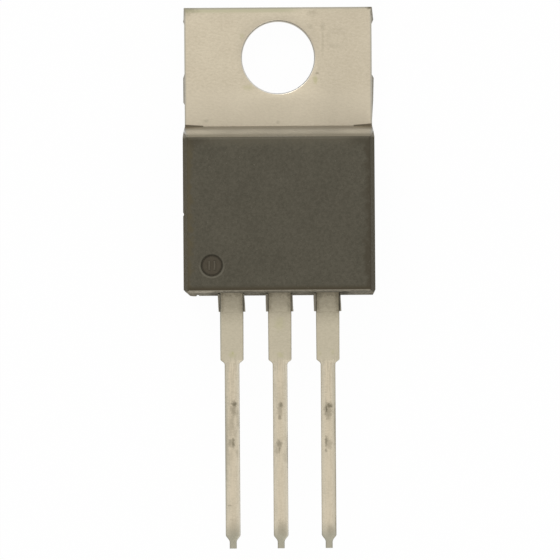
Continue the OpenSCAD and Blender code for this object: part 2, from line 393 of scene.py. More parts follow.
def draw_out(bm, faces, move):
    """Extrudes faces, moves the new ends by a matrix or a vector, and returns them."""
    edges = {edge for face in faces for edge in face.edges}
    made = bmesh.ops.extrude_face_region(bm, geom=faces + list(edges))["geom"]
    matrix = move if isinstance(move, Matrix) else Matrix.Translation(move)
    bmesh.ops.transform(bm, matrix=matrix, verts=of_kind(BMVert, made))
    return of_kind(BMFace, made)


def draw_rim(bm, rim, matrix):
    """Extrudes a ring of edges, moves the new ring by a matrix, and returns it."""
    made = bmesh.ops.extrude_edge_only(bm, edges=rim)["geom"]
    verts = set(of_kind(BMVert, made))
    bmesh.ops.transform(bm, matrix=matrix, verts=list(verts))
    return [edge for edge in bm.edges if verts.issuperset(edge.verts)]


def about(centre, matrix):
    """The same turn or stretch, made about a point."""
    centre = Vector(centre)
    return Matrix.Translation(centre) @ matrix.to_4x4() @ Matrix.Translation(-centre)


def open_ring(bm, z, centre, patch, radius, segments):
    """Opens a square patch in flat faces, and draws its rim in to a circle. Returns the circle."""
    for axis in (0, 1):
        for side in (-1, 1):
            cut_faces(bm, faces_at(bm, 2, z), axis, centre[axis] + side * patch)
    reach = {axis: (centre[axis] - patch, centre[axis] + patch) for axis in (0, 1)}
    middle = faces_at(bm, 2, z, reach)
    square = list({edge for face in middle for edge in face.edges})
    bmesh.ops.delete(bm, geom=middle, context="FACES_ONLY")
    cut = bmesh.ops.subdivide_edges(bm, edges=square, cuts=segments // 4 - 1)
    sides = of_kind(BMEdge, cut["geom_split"])
    for vert in corners_of(sides):
        for axis in (0, 1):
            # equal angles on the circle need these steps along the square
            share = (vert.co[axis] - centre[axis]) / patch
            vert.co[axis] = centre[axis] + patch * math.tan(share * math.pi / 4)
    rim = draw_rim(bm, sides, Matrix.Identity(4))
    for vert in corners_of(rim):
        vert.co.xy = Vector(centre) + (vert.co.xy - Vector(centre)).normalized() * radius
    return rim


def sharp_edges(bm, wanted, angle=math.radians(25)):
    """The edges that bend by more than the angle and whose middle passes a test."""
    return [
        edge
        for edge in bm.edges
        if len(edge.link_faces) == 2
        and edge.calc_face_angle(0) > angle
        and wanted((edge.verts[0].co + edge.verts[1].co) / 2)
    ]


def soften(bm, parts, width, segments=2, affect="EDGES"):
    """Rounds edges or corners, and returns the new vertices."""
    made = bmesh.ops.bevel(
        bm,
        geom=parts,
        offset=width,
        offset_type="OFFSET",
        segments=segments,
        profile=0.5,
        affect=affect,
        clamp_overlap=True,
        material=-1,
    )
    return made["verts"]


print("shape helpers ready")


# %% [markdown]
# ## From a bmesh to a piece
#
# Every piece ends the same way: normals outward, flat faces kept flat by weighted normals,
# an attribute that tells the material where it is rubbed and where light or shade is
# painted, and its place in the frame.


# %% Finish a piece
def finish_piece(bm, name, materials, replaced, is_eased):
    """Turns the bmesh into an object that stands for a solid and rides on the part."""
    bmesh.ops.recalc_face_normals(bm, faces=bm.faces)
    eased = bm.faces.layers.float.new("eased")
    for face in bm.faces:
        face.smooth = True
        face[eased] = float(is_eased(face))
    mesh = bpy.data.meshes.new(name)
    bm.to_mesh(mesh)
    bm.free()
    mesh.set_sharp_from_angle(angle=math.radians(42))
    for material in materials:
        mesh.materials.append(material)
    piece = bpy.data.objects.new(name, mesh)
    scene.collection.objects.link(piece)
    even = piece.modifiers.new("even_shading", "WEIGHTED_NORMAL")
    even.keep_sharp = True
    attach(piece, "root")
    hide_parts(replaced)
    print(name, "with", len(mesh.polygons), "faces")


print("finish_piece ready")

# %% [markdown]
# ## Shared effects
#
# What several surfaces need is a node group. Groups give out plain numbers, and each
# material decides what to do with them. The first one is the grain of rolled metal: a soft
# mottle, fine streaks along the strip, and a relief.

# %% Rolled grain group
entry, leave = new_group(
    "rolled_grain", {"Place": (0.0, 0.0, 0.0), "Streaks": 1.0}, ["Tone", "Height"]
)
mottle = noise_value(entry["Place"], 0.7, 2.0, 0.5)
drawn_long = mapped(entry["Place"], Scale=(1.0, 0.09, 1.0))
streaks = (noise_value(drawn_long, 10.0, 3.0, 0.65) - 0.5) * entry["Streaks"]
slanted = mapped(entry["Place"], Rotation=(0.0, 0.0, 0.4), Scale=(0.5, 1.0, 1.0))
fine = (noise_value(slanted, 10.0, 2.0, 0.9) - 0.5) * 0.95 + streaks
connect((mottle - 0.5) * 0.35 + fine + 0.5, leave["Tone"])
connect(fine, leave["Height"])
print("group rolled_grain:", len(fine.tree.nodes), "nodes")

# %% [markdown]
# Marks on the metal, such as the touch of a test probe, are all ellipses with ragged
# edges. Some are hollow, like a ring, because the touch wiped their middle clean.

# %% Ragged mark group
seen_from_front = (1.0, 1.0, 0.0)  # a place times this loses its height
entry, leave = new_group(
    "ragged_mark",
    {"Place": (0.0, 0.0, 0.0), "Middle": (0.0, 0.0, 0.0), "Radii": (1.0, 1.0, 1.0), "Ragged": 0.5,
     "Hollow": 0.0},
    ["Mask"],
)
offset = vector_math("SUBTRACT", entry["Place"], entry["Middle"])
offset = vector_math("MULTIPLY", vector_math("DIVIDE", offset, entry["Radii"]), seen_from_front)
reach = (entry["Ragged"] - 0.5) * 2.0 + vector_math("LENGTH", offset)
inside = ramp(reach, 0.15, 1.2, 1.0, 0.0)
hollow = ramp(reach, 0.3, 0.8, 1.0, 0.0) * entry["Hollow"]
connect((inside - hollow).clamped(), leave["Mask"])
print("group ragged_mark:", len(reach.tree.nodes), "nodes")

# %% [markdown]
# ## Tinned copper
#
# The strip is copper with a matt tin coat, which is a warm pale grey. The marks are listed
# by place: a middle, two radii, a strength, and how hollow the mark is. Greenish spots are
# a thin stain, and dark ones are where a probe or a finger touched the coat; the long dark
# strokes down the edges of the outer leads are painted shade.

# %% Marks on the metal
# each mark: x, y, radius across, radius along, strength, and how hollow it is, if at all
dark_marks_and_edge_shade = [
    # the first lead
    (-2.43, -18.39, 0.20, 0.20, 0.76),
    (-2.50, -18.72, 0.20, 0.42, 0.48),
    (-2.28, -18.85, 0.10, 0.42, 0.24),
    (-2.51, -20.43, 0.11, 0.34, 0.66),
    (-2.66, -20.46, 0.20, 0.30, 0.40),
    (-2.70, -23.75, 0.18, 0.06, 0.30),
    (-2.25, -19.40, 0.12, 0.50, 0.22),
    (-2.40, -19.90, 0.12, 0.55, 0.20),
    (-2.30, -20.95, 0.10, 0.30, 0.18),
    (-2.62, -19.50, 0.26, 0.85, 0.26),
    (-2.66, -21.15, 0.20, 0.45, 0.16),
    (-2.50, -24.98, 0.30, 0.66, 0.38, 0.40),
    # the long stroke down the left edge of the first lead is painted shade
    (-2.86, -20.60, 0.16, 2.60, 0.24),
    # the middle lead
    (0.03, -18.45, 0.15, 0.18, 0.64),
    (-0.02, -18.74, 0.17, 0.42, 0.52, 0.35),
    (-0.04, -19.08, 0.12, 0.19, 0.50),
    (-0.08, -20.50, 0.19, 0.26, 0.68, 0.20),
    (-0.06, -20.75, 0.09, 0.34, 0.55),
    (-0.22, -20.85, 0.14, 0.40, 0.30),
    (0.36, -20.95, 0.07, 1.20, 0.42),
    (0.22, -21.20, 0.14, 0.30, 0.22, 0.3),
    (0.05, -24.98, 0.27, 0.50, 0.36, 0.20),
    # the third lead
    (2.52, -18.74, 0.24, 0.50, 0.95, 0.55),
    (2.60, -18.50, 0.21, 0.21, 0.74),
    (2.52, -19.08, 0.14, 0.22, 0.36),
    (2.44, -18.66, 0.08, 0.34, 0.80),
    (2.43, -20.36, 0.10, 0.38, 0.62),
    (2.57, -20.52, 0.19, 0.28, 0.55, 0.40),
    (2.40, -20.86, 0.08, 0.12, 0.40),
    (2.62, -25.10, 0.24, 0.42, 0.26),
    # the long strokes down the right edge of the third lead are painted shade
    (2.88, -19.60, 0.07, 1.60, 0.36),
    (2.91, -22.60, 0.06, 1.80, 0.30),
    (2.91, -24.80, 0.07, 0.60, 0.36),
    # the tab
    (2.08, -0.85, 0.12, 0.07, 0.45),
    (3.10, 0.95, 0.66, 0.66, 0.20, 0.9),
    (2.95, 0.60, 0.60, 0.12, 0.14),
    (2.40, 1.62, 0.16, 0.30, 0.16),
    (1.72, 1.62, 0.20, 0.18, 0.14),
    (2.38, 0.75, 0.10, 0.80, 0.13),
    (1.85, 2.36, 0.34, 0.22, 0.16),
    (-3.86, -3.37, 0.16, 0.12, 0.22),
    (-0.02, -3.45, 0.11, 0.11, 0.18),
    (4.92, 2.62, 0.26, 0.12, 0.85),
    (4.99, 2.40, 0.09, 0.36, 0.55),
    (-4.90, 2.55, 0.80, 0.36, 0.30),
]
stain_marks = [
    (-2.51, -15.70, 0.10, 0.12, 0.85),
    (-2.51, -15.76, 0.26, 0.20, 0.40),
    (0.01, -15.80, 0.22, 0.18, 0.42),
    (0.00, -14.15, 0.34, 0.42, 0.32),
    (2.10, -15.72, 0.16, 0.16, 0.26),
    (2.80, -15.66, 0.16, 0.16, 0.26),
    (1.97, -1.22, 0.16, 0.28, 0.55),
    (-1.90, 1.15, 0.14, 0.18, 0.35),
    (-1.60, -1.60, 0.35, 0.20, 0.35),
]


def marks_mask(place, marks, ragged):
    """The strongest of several marks at each place."""
    total = 0.0
    for x, y, across, along, strength, *hollow in marks:
        middle, radii = (x, y, 0.0), (across, along, 1.0)
        inputs = {"Middle": middle, "Radii": radii, "Ragged": ragged, "Hollow": sum(hollow)}
        total = largest(Value(use_group("ragged_mark", place, **inputs)) * strength, total)
    return total


print(len(dark_marks_and_edge_shade) + len(stain_marks), "marks")

# %% [markdown]
# The coat differs along the part. It is warmest down the middle of each lead, dulled by
# resin and by painted shade of the moulding at the roots, grey at the tips where the leads
# were cut, and olive along the top of the tab, with painted shade where the stamp rolled
# its edge over.

# %% Matt tin
matt_tin, shader, place = new_material("matt_tin")
x, y, z = separate(place)
on_lead = ramp(y, -12.0, -11.0, 1.0, 0.0)
on_leg = ramp(y, -16.45, -15.9, 1.0, 0.0)
# the strip was combed lengthwise where the leg begins
combed = ramp(abs(y + 16.4), 0.1, 0.9, 1.8, 0.0)
grain = use_group("rolled_grain", place, Streaks=on_leg * 0.9 + 0.05 + combed)
tone, ragged = Value(grain, "Tone"), noise_value(place, 6.0, 4.0, 0.8)

# a lead's own x, from its axis, with a slow wander: warm in the middle, grey at its left, and
# painted shade down the left of the first lead and the right of the third
own_x = x.math("WRAP", x, pitch / MM / 2, -pitch / MM / 2)
wander = (tone - 0.5) * 0.3 + own_x
warmth = mix_colour(ramp(abs(wander), 0.08, 0.30), (0.525, 0.456, 0.342), (0.512, 0.468, 0.375))
in_first = ramp(x, -1.5, -1.1, 1.0, 0.1)
in_third = ramp(x, 1.1, 1.5)
left_shade = ramp(wander, -0.34, -0.12, 0.34, 0.0) * in_first * ramp(y, -23.4, -20.4, 0.1, 1.0)
right_shade = ramp(wander, 0.16, 0.38, 0.0, 0.45) * in_third
near_foot = ramp(abs(y + 2.9), 0.6, 1.7, 0.4, 0.0)
colour = paint(
    mix_colour(ramp(tone, 0.2, 0.8), (0.462, 0.406, 0.308), (0.555, 0.494, 0.380)),
    ((on_lead - on_leg).clamped(), (0.460, 0.415, 0.316)),
    (on_leg * 0.65, warmth),
    ((left_shade + right_shade) * on_leg, (0.330, 0.305, 0.232)),
    (ramp(tone, 0.30, 0.62, 0.34, 0.0) * on_lead, (0.340, 0.310, 0.235)),
    (near_foot + ramp(y, -22.0, -17.5, 0.22, 0.0), (0.580, 0.518, 0.405)),
)

# resin bled onto the root of each lead, as far as the cut dam bar, and crept down its sides;
# its dark start at the moulding and part of its fade below are painted shade of the moulding
film_place = (ragged - 0.5) * 0.7 + y
arc = ramp(abs(own_x * own_x * 0.25 + y + 13.52), 0.0, 0.045, 1.0, 0.0)
film_and_shade = ramp(film_place, -14.4, -12.9) * 0.40 + arc * 0.16
film_and_shade = film_and_shade + ramp(film_place, -12.74, -12.6, 0.0, 0.24)
film_and_shade = film_and_shade + ramp(abs(own_x), 0.30, 0.60, 0.0, 0.42) * ramp(y, -13.62, -13.46)
blotches = ramp(ragged, 0.35, 0.65, 0.78, 1.22) * ramp(x, -3.0, 3.0, 0.90, 1.12)

# the tips are grey, the tab's top is olive with painted shade of its rolled edge, and its
# right half is a little darker with painted shade, as the light comes from the left
tips = ramp(ragged * -0.9 + y, -26.1, -24.95, 0.85, 0.0)
top_edge_shade = ramp(y, 2.30, 2.48) * ramp(x, 0.3, 1.4, 0.9, 0.1)
on_tab = 1.0 - on_lead
tab_rim = largest(ramp(abs(x), 4.86, 4.94), ramp(y, 2.54, 2.60))
colour = paint(
    colour,
    (film_and_shade * blotches * on_lead, (0.205, 0.180, 0.128)),
    (tips, (0.305, 0.295, 0.232)),
    (top_edge_shade, (0.425, 0.400, 0.280)),
    (ramp(x, 1.5, 3.0, 0.0, 0.14) * on_tab, (0.340, 0.300, 0.230)),
    (tab_rim * 0.6, (0.28, 0.28, 0.25)),
)

# the rounded edges of the leads are darker, partly worn and partly painted shade, and the
# right edges of the first two leads get a painted highlight; the tab's are burnished
eased = Value(add_node(place.tree, "ShaderNodeAttribute", attribute_name="eased"), "Fac")
uneven = ramp(noise_value(place, 0.6, 2.0, 0.5), 0.35, 0.65, 0.1, 0.6)
worn_and_shaded = eased * on_lead * uneven * ramp(own_x, -0.2, 0.2, 1.0, 0.35) * in_first
edge_highlight = eased * on_leg * ramp(own_x, 0.1, 0.3, 0.0, 0.26) * ramp(x, 1.2, 1.5, 1.0, 0.0)
# on the tab and round its hole, the rounded edges that face down get a painted highlight,
# and those that face up get painted shade
burnished_and_lit = eased * on_tab
downward = ramp(y, -1.5, 1.2, 1.0, 0.0)
edge_light_and_shade = mix_colour(downward, (0.43, 0.40, 0.345), (0.72, 0.72, 0.70))
# the leads lie higher than the tab, so their front is found at another height
on_front = ramp(on_lead * -1.6 + z, 1.0, 1.2)
# the coat is darker above the hole, and painted shadow darkens the hole's wall at its lower right
from_hole = vector_math("LENGTH", vector_math("MULTIPLY", place, seen_from_front))
halo = ramp(from_hole, 1.98, 2.60, 0.13, 0.0) * ramp(y, -0.6, 1.6)
lip_shade = ramp(from_hole, 1.935, 1.965, 0.75, 0.0) * downward * ramp(x, -0.6, 0.3)
colour = paint(
    colour,
    (worn_and_shaded, (0.36, 0.35, 0.29)),
    (edge_highlight, (0.80, 0.76, 0.68)),
    (marks_mask(place, stain_marks, ragged) * on_front, (0.38, 0.365, 0.20)),
    (marks_mask(place, dark_marks_and_edge_shade, ragged) * on_front, (0.095, 0.082, 0.050)),
    (burnished_and_lit * 0.8, edge_light_and_shade),
    (halo, (0.30, 0.275, 0.215)),
    (lip_shade, (0.10, 0.098, 0.09)),
)
gloss = burnished_and_lit * -0.2 + ramp(tone, 0.2, 0.9, 0.52, 0.46)
feed_shader(
    shader,
    {"Base Color": colour, "Roughness": gloss, "Metallic": 1.0},
    relief=(Value(grain, "Height"), 0.3, 0.02),
)

# %% [markdown]
# ## Torn copper
#
# Where the tie bars were cut, bare copper was sheared and torn, and it has darkened. It is
# duller than the coat, with streaks across the thickness of the strip.

# %% Torn copper
torn_copper, shader, place = new_material("torn_copper")
tears = noise_value(mapped(place, Scale=(1.0, 1.0, 0.15)), 14.0, 4.0, 0.7)
colour = mix_colour(ramp(tears, 0.25, 0.75), (0.20, 0.18, 0.14), (0.36, 0.33, 0.27))
feed_shader(
    shader, {"Base Color": colour, "Roughness": 0.6, "Metallic": 0.6}, relief=(tears, 0.6, 0.03)
)

# %% [markdown]
# ## Epoxy
#
# The moulding compound is epoxy with a lot of ground quartz in it. Its surface copies the
# etched mould: a dense fine grain, nearly without gloss. It is browner near its edges, with
# painted light at its left and painted shade at its right. The edges that rub are paler,
# partly from rubbing and partly painted highlight. The lead end is rubbed, scuffed and
# sooty, with painted shade in its corners beside the outer leads.

# %% Filled epoxy
filled_epoxy, shader, place = new_material("filled_epoxy")
x, y, z = separate(place)
clouds = noise_value(place, 0.5, 2.0, 0.5)
speckle = noise_value(place, 7.0, 4.0, 0.85)
coarse = noise_value(place, 2.5, 2.0, 0.6)
etched = noise_value(place, 16.0, 3.0, 0.7)
grains = noise_value(place, 11.0, 2.0, 0.9)
tone = clouds * 0.15 + speckle * 0.85

# how near the left, the right, the top and the lead end are, with a ragged border
stray = (coarse - 0.5) * 0.9
# painted light from the left: the left strip is lighter, and the right strip darker
painted_light_left = ramp(stray - x, 4.45, 4.85, 0.0, 0.85)
painted_shade_right = ramp(stray + x, 4.4, 4.8, 0.0, 0.95)
near_top = ramp(stray + y, -5.0, -4.4)
at_corners = ramp(abs(x), 3.2, 4.5, 0.0, 0.65)
near_end = ramp(y, -12.33, -12.05, 1.0, 0.0) * ramp(z, 4.42, 4.48)
on_side = ramp(abs(x), 4.80, 4.90)
# the sides are browner, with a painted highlight beside the slope, and single grains of quartz show
colour = paint(
    mix_colour(ramp(tone, 0.3, 0.7), (0.074, 0.0680, 0.0500), (0.114, 0.1045, 0.0790)),
    (near_top * (0.65 - at_corners), (0.122, 0.110, 0.080)),
    (painted_light_left, (0.103, 0.087, 0.052)),
    (largest(painted_shade_right, near_top * at_corners), (0.069, 0.060, 0.042)),
    (near_end, (0.066, 0.055, 0.035)),
    (on_side * 0.6, (0.062, 0.052, 0.026)),
    (ramp(y, -4.36, -4.20) * on_side, (0.220, 0.198, 0.155)),
    (ramp(grains, 0.68, 0.76, 0.0, 0.6), (0.27, 0.25, 0.20)),
)

# the ejector mark: a brown floor, a wall darkened with painted shade, and a painted highlight
# on its rim that shows most below
mark_x, mark_y, mark_r = -body_half / MM + 1.52, mould_end / MM + 1.61, 0.5725
offset = vector_math("SUBTRACT", place, (mark_x, mark_y, 0.0))
reach = vector_math("LENGTH", vector_math("MULTIPLY", offset, seen_from_front))
reach = reach + ramp(z, 4.0, 4.3, 2.0, 0.0)
mark_rim_highlight = ramp(abs(reach - 0.64), 0.02, 0.07, 0.9, 0.0)
mark_rim_highlight = mark_rim_highlight * ramp(y - mark_y, -0.5, 0.5, 0.4, 0.04)
colour = paint(
    colour,
    (ramp(reach, 0.50, 0.56, 0.6, 0.0), (0.074, 0.060, 0.042)),
    (ramp(abs(reach - 0.53), 0.03, 0.08, 0.5, 0.0), (0.026, 0.022, 0.015)),
    (mark_rim_highlight, (0.21, 0.195, 0.155)),
)

# the lead end is rubbed in flecks and painted lighter, and scuffed near its left corner
on_end = ramp(y, -12.43, -12.37, 1.0, 0.0) * ramp(y, -12.70, -12.66)
flecks = ramp(noise_value(place, 4.0, 3.0, 0.8), 0.35, 0.65, -0.65, 0.65)
scuff = ramp(stray * 1.5 + abs(x + 4.1), 0.3, 1.1, 0.6, 0.0)
scuff = scuff * on_end * ramp(z + stray, 2.6, 3.4)
eased = Value(add_node(place.tree, "ShaderNodeAttribute", attribute_name="eased"), "Fac")
rubbed_and_lit = eased * ramp(speckle, 0.25, 0.75, 0.75, 1.0) * (flecks * on_end + 1.0) + scuff
# blots of soot and painted shade sit in the corners outside the outer leads, a darker one at
# the right lead
from_soot_and_shade = stray * 0.8 + abs(z - 2.9) * 0.22 + abs(abs(x) - 3.45)
soot_and_shade = ramp(from_soot_and_shade, 0.12, 0.40, 1.0, 0.0) * on_end * ramp(x, -1.0, 1.0, 0.4, 0.75)
colour = paint(colour, (rubbed_and_lit, (0.42, 0.385, 0.31)), (soot_and_shade, (0.040, 0.034, 0.022)))
feed_shader(
    shader,
    {"Base Color": colour, "Roughness": 0.8, "Specular IOR Level": 0.12},
    relief=(etched, 0.35, 0.02),
)

# %% [markdown]
# The slope above the tab was polished in the mould, to seal tightly there. Under a clear
# and glossy skin it is dark, so seen at a low angle it mirrors the tab in a soft band. A
# line of shadow and resin dirt lies at its foot.

# %% Polished epoxy
# each stop: the height, and the colour there
# the greyer stops midway up are a painted tint on the mirrored band
slope_stops = [
    (1.30, (0.064, 0.048, 0.024)),
    (1.60, (0.070, 0.054, 0.030)),
    (2.10, (0.074, 0.066, 0.048)),
    (2.60, (0.078, 0.079, 0.068)),
    (3.15, (0.078, 0.079, 0.067)),
    (3.65, (0.081, 0.077, 0.058)),
    (4.10, (0.074, 0.067, 0.044)),
    (4.45, (0.070, 0.062, 0.040)),
]
slope_foot, slope_rise = slope_stops[0][0], slope_stops[-1][0] - slope_stops[0][0]
polished_epoxy, shader, place = new_material("polished_epoxy")
x, y, z = separate(place)
height = (noise_value(place, 1.6, 3.0, 0.6) - 0.5) * 0.5 + z
share = (height - slope_foot) * (1 / slope_rise)
bands = add_node(place.tree, "ShaderNodeValToRGB", {"Fac": share})
while len(bands.color_ramp.elements) < len(slope_stops):
    bands.color_ramp.elements.new(0.5)
for stop, (level, tint) in zip(bands.color_ramp.elements, slope_stops):
    stop.position = (level - slope_foot) / slope_rise
    stop.color = (*tint, 1)
dirt = ramp(abs(x), 3.9, 4.2) * ramp(z, 1.7, 2.2, 0.5, 0.0)
colour = mix_colour(dirt, Value(bands), (0.200, 0.160, 0.095))
# the skin is glossiest halfway up the slope, and towards its left and right ends
uneven = ramp(noise_value(place, 1.2, 2.0, 0.5), 0.35, 0.70, 0.58, 0.74)
polish = uneven + ramp(abs(x), 2.4, 4.3, 0.0, 0.42)
polish = polish * ramp(abs(z - 2.95), 0.2, 1.1, 1.0, 0.0)
feed_shader(
    shader,
    {
        "Base Color": colour,
        "Roughness": 0.3,
        "Specular IOR Level": 0.5,
        "Coat Weight": polish,
        "Coat Roughness": 0.25,
        "Coat IOR": 1.7,
    },
)

# %% [markdown]
# ## The outline of a lead
#
# A lead is stamped from flat strip: a wide root, a step, a narrow leg, and a nub at the
# tip where it was cut from the strip. Its outline is a list of stations, each a place
# along the lead and a half width there. Inner corners become short curves.

# %% Lead stations
root_half, shoulder_half, leg_half, nub_half = 0.625 * MM, 0.61 * MM, 0.39 * MM, 0.185 * MM
shoulder_end = mould_end - 3.41 * MM
leg_top = shoulder_end - 0.17 * MM
nub_top = lead_tip + 0.41 * MM
taper_top = nub_top + 0.26 * MM


def rounded(corners, steps=4):
    """Stations along corners of [place, half width, reach], where reach is the curve's length."""
    stations = [tuple(corners[0][:2])]
    for before, corner, after in zip(corners, corners[1:], corners[2:]):
        middle = Vector(corner[:2])
        first = middle + (Vector(before[:2]) - middle).normalized() * corner[2]
        last = middle + (Vector(after[:2]) - middle).normalized() * corner[2]
        for i in range(steps + 1):
            t = i / steps
            stations.append(tuple((1 - t) ** 2 * first + 2 * t * (1 - t) * middle + t**2 * last))
    stations.append(tuple(corners[-1][:2]))
    return stations


leg_stations = rounded([
    (mould_end, root_half, 0),
    (shoulder_end, shoulder_half, 0.04 * MM),
    (leg_top, leg_half, 0.09 * MM),
    (taper_top, leg_half, 0.06 * MM),
    (nub_top, nub_half, 0.09 * MM),
    (lead_tip, nub_half, 0),
])
print(len(leg_stations), "stations from", round(mould_end / MM, 2), "to", round(lead_tip / MM, 2))

# %% [markdown]
# ## The section of a lead
#
# Stamping rounds the long edges on one face and leaves a small burr on the other. So the
# section is a rectangle with larger roundings at the front. It is made once at the root,
# as a flat face with bevelled corners, and the whole lead is drawn out of that face.


# %% Lead section
front_round, back_round = 0.075 * MM, 0.025 * MM


def lead_section(bm, middle, half):
    """An upright face across the lead, with rounded corners."""
    verts = bmesh.ops.create_grid(bm, x_segments=1, y_segments=1, size=1)["verts"]
    stand_up = Matrix.Rotation(math.pi / 2, 4, "X") @ Matrix.Diagonal((half, lead_t / 2, 1, 1))
    bmesh.ops.transform(bm, matrix=Matrix.Translation(middle) @ stand_up, verts=verts)
    front_corners = [vert for vert in verts if vert.co.z > middle[2]]
    back_corners = [vert for vert in verts if vert.co.z < middle[2]]
    soften(bm, front_corners, front_round, 3, "VERTICES")
    return soften(bm, back_corners, back_round, 3, "VERTICES")[0].link_faces[0]


def draw_leg(bm, end, axis_x, stations, half):
    """Draws a face out along -Y through the stations. Its two sides move in or out as one."""
    for place, new_half in stations:
        here = end[0].calc_center_median()
        end = draw_out(bm, end, Vector((0, place - here.y, 0)))
        for vert in corners_of(end):
            vert.co.x += (new_half - half) * math.copysign(1, vert.co.x - axis_x)
        half = new_half


print("lead section ready")

# %% [markdown]
# ## Tab and slug
#
# The header is one strip. It starts as the block of the tab. The stubs on its sides, where
# the bars between neighbouring parts were cut, are drawn out of its side faces, and the
# slug that carries the chip is drawn out of its foot.

# %% Header sizes
slug_half, lock_half, lock_z = 4.0 * MM, 4.3 * MM, 0.6 * MM
slug_end = mould_top - 6.1 * MM
groove_y, groove_half = mould_top - 0.65 * MM, 0.15 * MM
# each stub: the side, and its places up the tab with how far it stands proud there
tie_stubs = [
    (-1, [(-2.50, 0.0), (-2.37, 0.070), (-1.10, 0.075), (-0.85, 0.0)]),
    (1, [(-3.35, 0.0), (-2.30, 0.07), (-1.12, 0.104), (-0.94, 0.0)]),
    (-1, [(1.75, 0.0), (1.93, 0.055), (2.05, 0.030), (2.645, 0.02)]),
    (1, [(1.75, 0.0), (1.97, 0.100), (2.32, 0.065), (2.645, 0.03)]),
]
stub_slump = 0.16 * MM  # how far the tear pulled down a stub's front edge
hole_patch, hole_round, tab_round = 2.25 * MM, 0.09 * MM, 0.04 * MM


def in_slug(point):
    """True inside the slug's section, seen along Y."""
    return point.z < tab_t and abs(point.x) < (slug_half if point.z < lock_z else lock_half)


def add_tie_stub(bm, side, profile):
    """Draws a torn stub out of one side of the tab."""
    wall = side * tab_half
    for y, proud in profile:
        cut_faces(bm, faces_at(bm, 0, wall), 1, y * MM)
    root = faces_at(bm, 0, wall, {1: (profile[0][0] * MM, profile[-1][0] * MM)})
    end = draw_out(bm, root, Vector((side * 0.01 * MM, 0, 0)))
    for vert in corners_of(end):
        proud = next(proud for y, proud in profile if abs(vert.co.y - y * MM) < tiny)
        vert.co.x = side * (tab_half + proud * MM)
        if vert.co.z > tab_t / 2:
            vert.co.z -= min(1, proud / 0.06) * stub_slump


print("header sizes ready,", len(tie_stubs), "stubs")

# %% [markdown]
# The hole is opened in the front and in the back, and a wall is drawn from one rim to the
# other. The foot is cut into the slug's section before the slug is drawn out of it.

# %% Header
bm = bmesh.new()
add_block(bm, (-tab_half, mould_top, 0), (tab_half, tab_top, tab_t))
for side, profile in tie_stubs:
    add_tie_stub(bm, side, profile)

for z in (0, tab_t):
    rim = open_ring(bm, z, (0, 0), hole_patch, hole_r, 96)
draw_rim(bm, rim, Matrix.Translation((0, 0, -tab_t)))
bmesh.ops.remove_doubles(bm, verts=bm.verts, dist=tiny)

for x in (slug_half, lock_half):
    for side in (-1, 1):
        cut_faces(bm, faces_at(bm, 1, mould_top), 0, side * x)
cut_faces(bm, faces_at(bm, 1, mould_top), 2, lock_z)
slug_start = [face for face in faces_at(bm, 1, mould_top) if in_slug(face.calc_center_median())]
draw_out(bm, slug_start, Vector((0, slug_end - mould_top, 0)))

# a groove across the slug locks it into the epoxy
slug_front = {0: (-lock_half, lock_half), 1: (slug_end, mould_top)}
for y in (groove_y - groove_half, groove_y, groove_y + groove_half):
    cut_faces(bm, faces_at(bm, 2, tab_t, slug_front), 1, y)
for vert in bm.verts:
    if abs(vert.co.y - groove_y) < tiny and abs(vert.co.z - tab_t) < tiny:
        vert.co.z -= groove_half

# stamping pulls the front edges of the tab and the hole down a little
hole_rim = [
    edge
    for edge in bm.edges
    if all(abs(v.co.xy.length - hole_r) < tiny and abs(v.co.z - tab_t) < tiny for v in edge.verts)
]
soften(bm, hole_rim, hole_round, 4)
tab_edges = sharp_edges(
    bm,
    lambda p: p.y > mould_top + 0.01 * MM and p.xy.length > hole_r + 2 * hole_round,
    math.radians(50),
)
soften(bm, tab_edges, tab_round)
# the faces that stand out of the tab's side were torn
for face in bm.faces:
    if abs(face.calc_center_median().x) > tab_half + 0.002 * MM:
        face.material_index = 1
print("header with", len(bm.faces), "faces before its lead")

# %% [markdown]
# ## Centre lead
#
# The centre lead leaves the slug flush with its front, bends up, and bends level again at
# the height of its neighbours. The section is turned about each bend's centre in steps.

# %% Centre lead
level_run, rise_r, rise_angle = 0.1 * MM, 0.55 * MM, math.radians(60)
rise_from, rise_to = tab_t - lead_t / 2, lead_middle
rise_left = rise_to - rise_from - 2 * rise_r * (1 - math.cos(rise_angle))
slope = Vector((0, -math.cos(rise_angle), math.sin(rise_angle))) * rise_left / math.sin(rise_angle)


def bend(bm, end, centre, angle, steps=6):
    """Turns the end of a lead about a centre, in steps."""
    turn = about(centre, Matrix.Rotation(angle / steps, 4, "X"))
    for i in range(steps):
        end = draw_out(bm, end, turn)
    return end


first_y = slug_end - level_run
second_y = first_y + slope.y - 2 * rise_r * math.sin(rise_angle)
start = lead_section(bm, (0, slug_end, rise_from), root_half)
end = draw_out(bm, [start], Vector((0, -level_run, 0)))
end = bend(bm, end, (0, first_y, rise_from + rise_r), -rise_angle)
end = draw_out(bm, end, slope)
end = bend(bm, end, (0, second_y, rise_to - rise_r), rise_angle)
draw_leg(bm, end, 0, leg_stations, root_half)


def is_rounding(face):
    """True for the narrow faces that round a front edge."""
    return 0.1 < face.normal.z < 0.98


finishes = [matt_tin, torn_copper]
finish_piece(
    bm, "tab_and_centre_lead", finishes, "tab_with_centre_lead", is_rounding
)

# %% [markdown]
# ## Outer leads
#
# Each outer lead starts inside the moulding as a wide post that the wires are bonded to.
# Two round notches below the post lock it into the epoxy, and the leg follows from there.

# %% Outer leads
post_outer_w, post_inner_w, post_l = post_outer - pitch, 0.95 * MM, 1.2 * MM
post_end = post_top - post_l
post_corner, notch_r = 0.15 * MM, 0.18 * MM
notch_y = (post_end + mould_end) / 2


